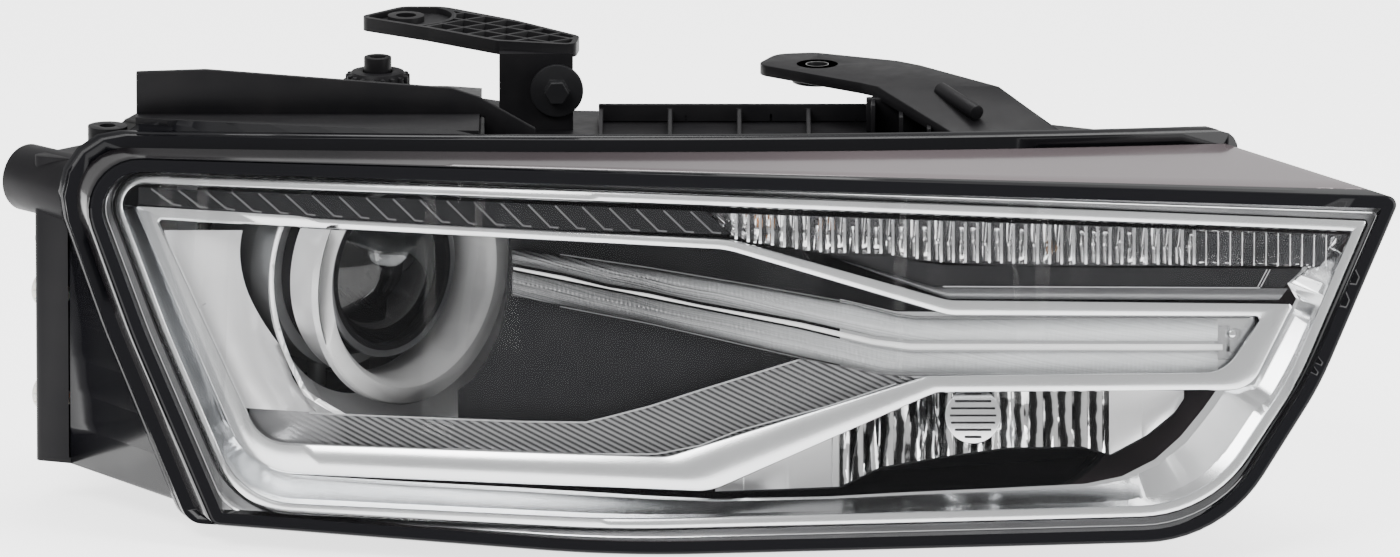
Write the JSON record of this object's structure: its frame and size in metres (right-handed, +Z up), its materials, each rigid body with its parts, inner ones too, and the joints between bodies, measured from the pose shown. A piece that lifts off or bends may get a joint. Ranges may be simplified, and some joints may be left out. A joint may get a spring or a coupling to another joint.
{
  "type": "car headlight assembly",
  "caption": "Right-hand car headlamp with a swivelling bi-xenon projector, light-guide daytime strip, turn signal strip, halogen high beam and fixing arms.",
  "frame": {"origin": "centre of the fixing hole in the moulded inner arm, at the arm's top face", "axes": "+X along the lamp from its outer end to its inner end, -Y out of the front lens, +Z up"},
  "size_m": [0.6001, 0.2593, 0.189],
  "materials": {
    "lens_clear": "clear polycarbonate",
    "projector_glass": "polished glass",
    "clear_prism": "prismatic clear polycarbonate",
    "white_insert": "white translucent strip",
    "rim_black": "gloss",
    "housing_black": "fine grain",
    "cap_black": "matt",
    "chrome_trim": "satin bright",
    "mirror_metal": "vacuum metallised",
    "satin_ring": "satin",
    "trim_grey": "satin grey",
    "trim_black": "satin black",
    "die_cast": "die cast",
    "steel": "zinc plated",
    "adjuster_white": "natural nylon",
    "amber": "amber glass",
    "rubber_seal": "soft",
    "copper_coil": "varnished winding",
    "circuit_board": "solder resist"
  },
  "bodies": {
    "housing": {"housing_front": "rim_black", "housing_rear": "housing_black", "rear_upright": "housing_black", "lens_cover": "lens_clear", "lens_rim": "rim_black", "seam_seal": "rubber_seal", "outer_bezel": "chrome_trim", "rim_trim": "trim_grey", "top_strip": "trim_black", "drl_frame": "chrome_trim", "signal_lens": "clear_prism", "signal_reflector": "mirror_metal", "lower_strip_trim": "trim_grey", "drl_upper_guide": "clear_prism", "drl_lower_guide": "clear_prism", "drl_divider": "white_insert", "drl_board": "circuit_board", "drl_heat_sink": "die_cast", "step_panel": "trim_black", "mask_panel": "trim_black", "projector_bowl": "mirror_metal", "projector_ring": "satin_ring", "levelling_motor": "housing_black", "beam_reflector": "mirror_metal", "glare_cap": "mirror_metal", "beam_bulb": "projector_glass", "cover_gasket": "rubber_seal", "ballast": "die_cast", "ballast_screws": "steel", "connector_socket": "housing_black", "breather_vent": "housing_black", "inner_arm": "housing_black", "ribbed_arm": "housing_black", "ribbed_arm_bolt": "steel", "ring_lug": "housing_black", "rear_boss": "housing_black", "mount_inserts": "steel", "seam_screws": "steel", "wiring_harness": "rubber_seal", "roof_ribs": "housing_black"},
    "carrier": {"carrier_frame": "die_cast", "swivel_drive": "housing_black"},
    "projector": {"projector_body": "die_cast", "projector_lens": "projector_glass", "lens_holder": "housing_black", "shutter_solenoid": "copper_coil", "xenon_bulb": "projector_glass", "bulb_clamp_ring": "steel"},
    "shutter": {"shutter_flap": "steel"},
    "levelling_rod": {"levelling_rod": "adjuster_white"},
    "height_adjuster": {"height_adjuster": "adjuster_white"},
    "side_adjuster": {"side_adjuster": "adjuster_white"},
    "low_beam_cover": {"low_beam_cover": "cap_black"},
    "beam_cap": {"beam_cap": "cap_black"},
    "signal_socket": {"signal_holder": "housing_black", "signal_bulb": "amber"},
    "gap_knob": {"gap_knob": "housing_black"},
    "gap_sleeve": {"gap_sleeve": "housing_black"}
  },
  "joints": [
    {"name": "levelling", "type": "hinge", "parent": "housing", "child": "carrier", "pos_m": [-0.23374, -0.05895, -0.067], "axis": [0.7193, 0.6947, 0], "range_deg": [-3, 3]},
    {"name": "swivel", "type": "hinge", "parent": "carrier", "child": "projector", "pos_m": [-0.21707, -0.07622, -0.067], "axis": [0, 0, 1], "range_deg": [-7, 7]},
    {"name": "shutter", "type": "hinge", "parent": "projector", "child": "shutter", "pos_m": [-0.21568, -0.07766, -0.095], "axis": [0.7193, 0.6947, 0], "range_deg": [0, 40], "stiffness_Nm_per_rad": 0.02, "springref_deg": -17.19},
    {"name": "levelling_rod_travel", "type": "slide", "parent": "housing", "child": "levelling_rod", "axis": [-0.6947, 0.7193, 0], "range_m": [-0.0035, 0.0035]},
    {"name": "height_screw", "type": "hinge", "parent": "housing", "child": "height_adjuster", "pos_m": [-0.32602, -0.07856, -0.13], "axis": [-0.6947, 0.7193, 0], "range_deg": [-1440, 1440]},
    {"name": "side_screw", "type": "hinge", "parent": "housing", "child": "side_adjuster", "pos_m": [-0.32602, -0.07856, -0.084], "axis": [-0.6947, 0.7193, 0], "range_deg": [-1440, 1440]},
    {"name": "low_beam_cover_turn", "type": "hinge", "parent": "housing", "child": "low_beam_cover", "pos_m": [-0.26847, -0.02299, -0.067], "axis": [-0.6947, 0.7193, 0], "range_deg": [0, 30]},
    {"name": "beam_cap_turn", "type": "hinge", "parent": "housing", "child": "beam_cap", "pos_m": [-0.031, -0.005, -0.1], "axis": [0, 1, 0], "range_deg": [0, 45]},
    {"name": "signal_socket_turn", "type": "hinge", "parent": "housing", "child": "signal_socket", "pos_m": [0.099, -0.15028, -0.04748], "axis": [0, 0.9744, -0.225], "range_deg": [0, 45]},
    {"name": "gap_knob_turn", "type": "hinge", "parent": "housing", "child": "gap_knob", "pos_m": [-0.191, -0.012, -0.009], "axis": [0, 0, 1], "range_deg": [0, 1080]},
    {"name": "gap_sleeve_travel", "type": "slide", "parent": "housing", "child": "gap_sleeve", "axis": [0, 0, 1], "range_m": [0, 0.0045]}
  ],
  "couplings": [
    {"joint": "levelling_rod_travel", "follows": "levelling", "m_per_rad": 0.059},
    {"joint": "height_screw", "follows": "levelling", "ratio": 400},
    {"joint": "gap_sleeve_travel", "follows": "gap_knob_turn", "m_per_rad": 0.00023873}
  ]
}
